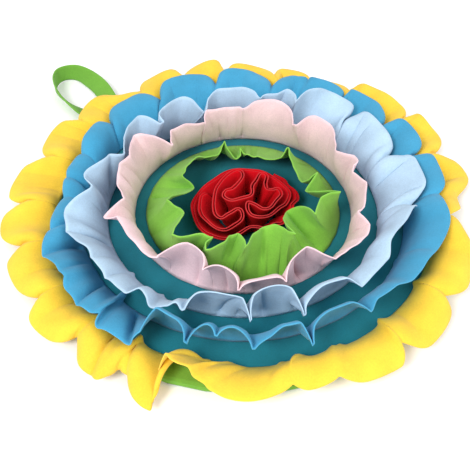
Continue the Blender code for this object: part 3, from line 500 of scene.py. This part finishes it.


def fleece_material(name, colour, sheen=0.12, shade=0.82, translucent=0.12):
    """Matte fleece: fine pile, faint blotches, a little light through it, and shade painted darker
    into its folds and hollows.
    """
    material = bpy.data.materials.new(name)
    material.use_nodes = True
    tree = material.node_tree
    shader = tree.nodes["Principled BSDF"]
    shader.inputs["Roughness"].default_value = 0.95
    shader.inputs["Specular IOR Level"].default_value = 0.15
    shader.inputs["Sheen Weight"].default_value = sheen
    shader.inputs["Sheen Roughness"].default_value = 0.6
    where = tree.nodes.new("ShaderNodeTexCoord")
    blotch = tree.nodes.new("ShaderNodeTexNoise")
    blotch.inputs["Scale"].default_value = 45
    blotch.inputs["Detail"].default_value = 5
    pile = tree.nodes.new("ShaderNodeTexNoise")
    pile.inputs["Scale"].default_value = 650
    pile.inputs["Detail"].default_value = 3
    pile.inputs["Roughness"].default_value = 0.7
    tree.links.new(where.outputs["Object"], blotch.inputs["Vector"])
    tree.links.new(where.outputs["Object"], pile.inputs["Vector"])
    tone = tree.nodes.new("ShaderNodeMapRange")
    tone.inputs["From Min"].default_value = 0.3
    tone.inputs["From Max"].default_value = 0.7
    tone.inputs["To Min"].default_value = 0.0
    tone.inputs["To Max"].default_value = 1.0
    join = tree.nodes.new("ShaderNodeMath")
    join.operation = "ADD"
    half = tree.nodes.new("ShaderNodeMath")
    half.operation = "MULTIPLY"
    half.inputs[1].default_value = 0.5
    tree.links.new(blotch.outputs["Fac"], join.inputs[0])
    tree.links.new(pile.outputs["Fac"], join.inputs[1])
    tree.links.new(join.outputs["Value"], half.inputs[0])
    tree.links.new(half.outputs["Value"], tone.inputs["Value"])
    mix = tree.nodes.new("ShaderNodeMix")
    mix.data_type = "RGBA"
    mix.inputs["A"].default_value = (*[c * shade for c in colour], 1)
    mix.inputs["B"].default_value = (*[min(1, c * (2 - shade) ** 0.6) for c in colour], 1)
    tree.links.new(tone.outputs["Result"], mix.inputs["Factor"])
    # painted shade: ambient occlusion darkens the colour in folds and hollows
    hollow = tree.nodes.new("ShaderNodeAmbientOcclusion")
    hollow.samples = 8
    hollow.inputs["Distance"].default_value = PAINTED_SHADE_REACH
    painted_shade = tree.nodes.new("ShaderNodeMix")
    painted_shade.data_type = "RGBA"
    painted_shade.inputs["A"].default_value = (*[PAINTED_SHADE_LEVEL * c**PAINTED_SHADE_RICHNESS for c in colour], 1)
    depth = tree.nodes.new("ShaderNodeMapRange")
    depth.inputs["From Min"].default_value = CLOSED
    depth.inputs["From Max"].default_value = OPEN
    tree.links.new(hollow.outputs["AO"], depth.inputs["Value"])
    tree.links.new(depth.outputs["Result"], painted_shade.inputs["Factor"])
    tree.links.new(mix.outputs["Result"], painted_shade.inputs["B"])
    tree.links.new(painted_shade.outputs["Result"], shader.inputs["Base Color"])
    bump = tree.nodes.new("ShaderNodeBump")
    bump.inputs["Strength"].default_value = 0.35
    bump.inputs["Distance"].default_value = 0.6 * MM
    tree.links.new(pile.outputs["Fac"], bump.inputs["Height"])
    tree.links.new(bump.outputs["Normal"], shader.inputs["Normal"])
    glow = tree.nodes.new("ShaderNodeBsdfTranslucent")
    tree.links.new(mix.outputs["Result"], glow.inputs["Color"])
    blend = tree.nodes.new("ShaderNodeMixShader")
    blend.inputs["Fac"].default_value = translucent
    output = tree.nodes["Material Output"]
    tree.links.new(shader.outputs["BSDF"], blend.inputs[1])
    tree.links.new(glow.outputs["BSDF"], blend.inputs[2])
    tree.links.new(blend.outputs["Shader"], output.inputs["Surface"])
    return material


def paler(colour, amount):
    """The colour moved towards white by that share."""
    return tuple(c + (1 - c) * amount for c in colour)


def srgb(red, green, blue):
    """Linear colour of an 8-bit sRGB one."""
    values = []
    for v in (red, green, blue):
        v = v / 255
        values.append(v / 12.92 if v <= 0.04045 else ((v + 0.055) / 1.055) ** 2.4)
    return tuple(values)


def ride(piece, node):
    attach(piece, "root")
    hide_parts(node)


# ---- the ruffles ---------------------------------------------------------------------------

# Each crease is a valley that runs out from the seam.
#   at     place on the seam circle, degrees anticlockwise from +X
#   width  of its sides, degrees
#   deep   mm
#   reach  share of the strip's width at which it would have run out
#   slant  degrees anticlockwise from the seam to the free edge
Crease = namedtuple("Crease", "at width deep reach slant")

# Each ruffle's settings.
#   cut_length  of the strip before it was gathered, m.  Only the seam is drawn in, so this is
#               the free edge's length in the sheet built here, rounded to 10 mm
#   fullness    share of the curl that shows as a bend
#   sharpness   of the folds at the notches
#   flare       how far the free edge spreads sideways from its lobes
#   puff        how far the lobes swell, mm
#   valley      depth of the crease at the deepest notches, mm
#   tuck        how far a notch leans over its neighbour, mm
#   gathers     number of small gathers along the seam
RUFFLES = (
    {"node": "ruffle_yellow", "cut_length": 1.94, "slot": "yellow_fleece",
     "colour": srgb(250, 204, 62),
     "radius": 188.3 * MM, "fullness": 0.85, "sharpness": 1.2, "flare": 0.35,
     "puff": 2, "valley": 2.5, "tuck": 5, "gathers": 70, "folds": YELLOW_FOLDS,
     "creases": [
         Crease(143, 1.2, 3, 0.8, 0), Crease(172, 1.4, 3, 0.8, 0), Crease(206, 1.0, 3, 0.9, 0),
         Crease(219, 1.1, 4, 1.0, 0), Crease(234.7, 0.6, 6, 2.5, 1.5),
         Crease(241, 0.8, 5, 2.5, 2), Crease(262, 1.0, 4, 0.9, 0),
         Crease(280, 1.2, 4, 0.9, 0), Crease(296, 1.2, 3, 0.7, 0),
         Crease(315, 1.2, 3, 0.8, 0)]},
    {"node": "ruffle_blue", "cut_length": 1.57, "slot": "blue_fleece",
     "colour": srgb(66, 156, 196),
     "radius": 162 * MM, "fullness": 0.75, "sharpness": 0.5, "flare": 0.6,
     "puff": 3, "valley": 2.5, "tuck": 5, "gathers": 60, "folds": BLUE_FOLDS,
     "creases": [
         Crease(72, 1.0, 4, 1.3, 0), Crease(176, 1.2, 9, 1.6, -2), Crease(191, 1.2, 9, 1.6, 3),
         Crease(200, 1.2, 9, 1.6, 3), Crease(208, 1.3, 8, 1.2, 2), Crease(218, 1.0, 10, 1.6, 2),
         Crease(226, 1.2, 12, 1.3, 3), Crease(234.5, 1.0, 12, 1.5, 2),
         Crease(332, 1.4, 4, 1.0, 0)]},
    {"node": "ruffle_sky", "cut_length": 1.36, "slot": "sky_fleece",
     "colour": srgb(180, 208, 230),
     "radius": 137 * MM, "fullness": 0.85, "sharpness": 0.5, "flare": 0.75,
     "puff": 3.5, "valley": 2.5, "tuck": 5, "gathers": 55, "folds": SKY_FOLDS,
     "creases": [
         Crease(22, 1.8, 4, 1.0, 0), Crease(47, 1.8, 4, 1.1, 0), Crease(173, 1.2, 9, 1.4, -4),
         Crease(185, 1.2, 10, 1.3, -3), Crease(202.5, 1.2, 10, 1.4, -1),
         Crease(213, 1.2, 8, 1.3, 2), Crease(221, 1.2, 10, 1.4, 1), Crease(237, 1.3, 8, 1.2, 2),
         Crease(260, 1.3, 6, 1.0, 2), Crease(277.5, 1.3, 7, 1.0, -2),
         Crease(331, 1.5, 4, 0.9, 0)]},
    {"node": "ruffle_pink", "cut_length": 0.96, "slot": "pink_fleece",
     "colour": srgb(241, 208, 214),
     "radius": 110 * MM, "fullness": 1.2, "sharpness": 1.1, "flare": 0.65,
     "puff": 3.5, "valley": 2.5, "tuck": 5, "gathers": 48, "folds": PINK_FOLDS,
     "creases": [
         Crease(90, 1.4, 3, 1.2, 0), Crease(103, 1.6, 4, 0.9, 0), Crease(162, 1.4, 6, 1.2, 8),
         Crease(246, 1.6, 4, 0.7, 0), Crease(262, 1.4, 4, 1.1, 0),
         Crease(299.5, 2.2, 13, 1.0, 0)]},
    {"node": "ruffle_green", "cut_length": 0.79, "slot": "leaf_fleece",
     "colour": srgb(132, 196, 70),
     "radius": 98 * MM, "fullness": 1.4, "sharpness": 1.1, "flare": 0.6,
     "puff": 2, "valley": 1, "tuck": 2, "gathers": 44, "folds": GREEN_FOLDS,
     "creases": [
         Crease(170, 1.6, 4, 0.9, 0), Crease(262, 1.6, 5, 1.2, 0), Crease(283, 1.4, 2, 0.8, 0),
         Crease(290, 1.6, 4, 1.1, 0), Crease(313, 1.8, 4, 0.9, 0)]},
)

outer = None
for number, ruffle in enumerate(RUFFLES):
    rows = np.array(ruffle["folds"], dtype=float)
    raises, outer = rest_raises(ruffle, rows, outer)
    points = ruffle_points(ruffle, rows, raises, 11 + number)
    cloth = fleece_material(ruffle["slot"], ruffle["colour"])
    cut = fleece_material(ruffle["slot"] + "_cut", paler(ruffle["colour"], 0.02))
    piece = sheet_mesh(ruffle["node"] + "_cloth", points, CLOTH, [cloth, cut])
    ride(piece, ruffle["node"])

# ---- the rosette and the loop --------------------------------------------------------------


def smooth_path(rows, count):
    """Even samples of a smooth curve through the rows of a table."""
    rows = np.array(rows, dtype=float)
    last = len(rows) - 1
    place = np.linspace(0, last, count + 1)
    i = np.minimum(place.astype(int), last - 1)
    t = (place - i)[:, None]
    a, b, c, d = (rows[np.clip(i + n, 0, last)] for n in (-1, 0, 1, 2))
    return 0.5 * (2 * b + (c - a) * t + (2 * a - 5 * b + 4 * c - d) * t**2
                  + (3 * b - a - 3 * c + d) * t**3)


def rosette_points():
    """Middle surface of the folded strip: up one layer from the fold on each side."""
    rng = np.random.default_rng(5)
    path = smooth_path(ROSETTE_PATH, ROSETTE_SECTIONS) * MM
    plan = path[:, :2]
    along = np.gradient(plan, axis=0)
    along /= np.linalg.norm(along, axis=1, keepdims=True)
    aside = np.stack([-along[:, 1], along[:, 0]], axis=1)
    count = len(path)
    sway = smooth_noise(rng, count, 30) * 0.5 * MM
    tall = smooth_noise(rng, count, 22) * 0.8 * MM
    spread = 0.35 * MM * (1 + 0.6 * smooth_noise(rng, count, 26))
    share = np.arange(-ROSETTE_UP, ROSETTE_UP + 1) / ROSETTE_UP
    rise = np.abs(share)
    points = np.zeros((count, len(share), 3))
    scale = ROSETTE_SEAM_SCALE + (1 - ROSETTE_SEAM_SCALE) * rise**1.3
    foot = FOOT * np.clip(1 - rise / 0.3, 0, 1) * np.minimum(rise * 12, 1) * np.sign(share)
    shift = sway[:, None] * rise[None] ** 0.7
    layer = np.sign(share) * np.minimum(rise * 6, 1) * LAYER_SPACING / 2
    shift = shift + layer[None] + foot[None]
    shift = shift + np.sign(share)[None] * spread[:, None] * rise[None] ** 3
    for c in (0, 1):
        points[..., c] = plan[:, c, None] * scale[None] + aside[:, c, None] * shift
        points[..., c] += ROSETTE_CENTRE[c]
    points[..., 2] = SEAM_HEIGHT + LAYER / 2
    points[..., 2] += (path[:, 2] + tall)[:, None] * rise[None] ** 0.9
    return points


points = rosette_points()
RED = srgb(196, 5, 20)
cloth = fleece_material("red_fleece", RED, 0)
cut = fleece_material("red_fleece_cut", paler(RED, 0.03), 0.03)
piece = sheet_mesh("rosette_cloth", points, LAYER, [cloth, cut], False, True)
ride(piece, "rosette_red")

# Each row is one place along the ribbon's middle, from one end round to the other.
#   out   distance from the mat's middle along the loop's azimuth, mm
#   side  distance from that line, anticlockwise, mm
#   up    height, mm
#   tilt  0 where the ribbon lies flat, 90 where it stands on its edge, degrees
LOOP_AZIMUTH = 134.5
LOOP_WIDTH = 20 * MM
LOOP_CLOTH = 1.6 * MM
LOOP_SAMPLES = 180
LOOP_PATH = (
    (210.8, -13, 3, 0), (229, -13, 3, 0), (248, -18, 5, 12), (270, -23, 8, 30),
    (292, -23, 10, 50), (310, -19, 11.3, 75), (320, -9, 11.5, 90), (321, 3, 11.5, 90),
    (311, 15, 11.5, 90), (292, 22, 11.2, 75), (272, 24, 10, 55), (250, 20, 6, 30),
    (229, 13, 3, 0), (210.8, 13, 3, 0),
)


def loop_points():
    """Middle surface of the ribbon, one line of points across it at each place."""
    path = smooth_path(LOOP_PATH, LOOP_SAMPLES)
    azimuth = radians(LOOP_AZIMUTH)
    outward = np.array((cos(azimuth), sin(azimuth), 0))
    sideways = np.array((-sin(azimuth), cos(azimuth), 0))
    upright = np.array((0, 0, 1.0))
    middle = (outward * path[:, :1] + sideways * path[:, 1:2] + upright * path[:, 2:3]) * MM
    along = np.gradient(middle, axis=0)
    along /= np.linalg.norm(along, axis=1, keepdims=True)
    flat = np.cross(along, upright)
    flat /= np.linalg.norm(flat, axis=1, keepdims=True)
    tilt = np.radians(path[:, 3:4])
    across = flat * np.cos(tilt) + np.cross(flat, along) * np.sin(tilt)
    share = np.linspace(-0.5, 0.5, 9)
    return middle[:, None] + across[:, None] * (share[None, :, None] * LOOP_WIDTH)


points = loop_points()
TAPE = srgb(114, 172, 62)
tape = fleece_material("green_ribbon", TAPE)
piece = sheet_mesh("loop_ribbon", points, LOOP_CLOTH, [tape, tape], False, True)
ride(piece, "hanging_loop")

# ---- pieces carried over from the CAD ------------------------------------------------------

TEAL = srgb(24, 122, 136)
for node, colour in (("base_mat", TEAL), ("edge_binding", TAPE)):
    mesh = nodes[node].data
    mesh.materials.clear()
    mesh.materials.append(fleece_material(node, colour))

# ---- floor, light and camera ---------------------------------------------------------------

bpy.ops.mesh.primitive_plane_add(size=8, location=(0, 0, -0.3 * MM))
floor = bpy.context.object
floor.name = "floor"
pale = bpy.data.materials.new("floor_white")
pale.use_nodes = True
pale.node_tree.nodes["Principled BSDF"].inputs["Base Color"].default_value = (0.93, 0.93, 0.93, 1)
pale.node_tree.nodes["Principled BSDF"].inputs["Roughness"].default_value = 0.9
floor.data.materials.append(pale)


def area_light(name, place, aim, size, power):
    data = bpy.data.lights.new(name, "AREA")
    data.shape = "DISK"
    data.size = size
    data.energy = power
    lamp = bpy.data.objects.new(name, data)
    lamp.location = place
    lamp.rotation_mode = "QUATERNION"
    lamp.rotation_quaternion = (Vector(aim) - Vector(place)).to_track_quat("-Z", "Y")
    bpy.context.scene.collection.objects.link(lamp)


area_light("key", (-0.8, -1.1, 1.4), (0, 0, 0), 0.7, 24)
area_light("fill", (1.2, -0.9, 1.1), (0, 0, 0), 1.2, 13)
world = bpy.data.worlds.new("studio")
world.use_nodes = True
world.node_tree.nodes["Background"].inputs["Color"].default_value = (1, 1, 1, 1)
world.node_tree.nodes["Background"].inputs["Strength"].default_value = 0.95
scene = bpy.context.scene
scene.world = world
scene.view_settings.view_transform = "Standard"

DISTANCE = 0.70
AIM = Vector((-0.008, -0.029, 0.0))
lens = bpy.data.cameras.new("camera")
lens.lens = 53.46
lens.sensor_width = 36
camera = bpy.data.objects.new("camera", lens)
camera.location = AIM + Vector(TO_VIEWER) * DISTANCE
camera.rotation_euler = (pi / 2 - ELEVATION, 0, 0)
scene.collection.objects.link(camera)
scene.camera = camera
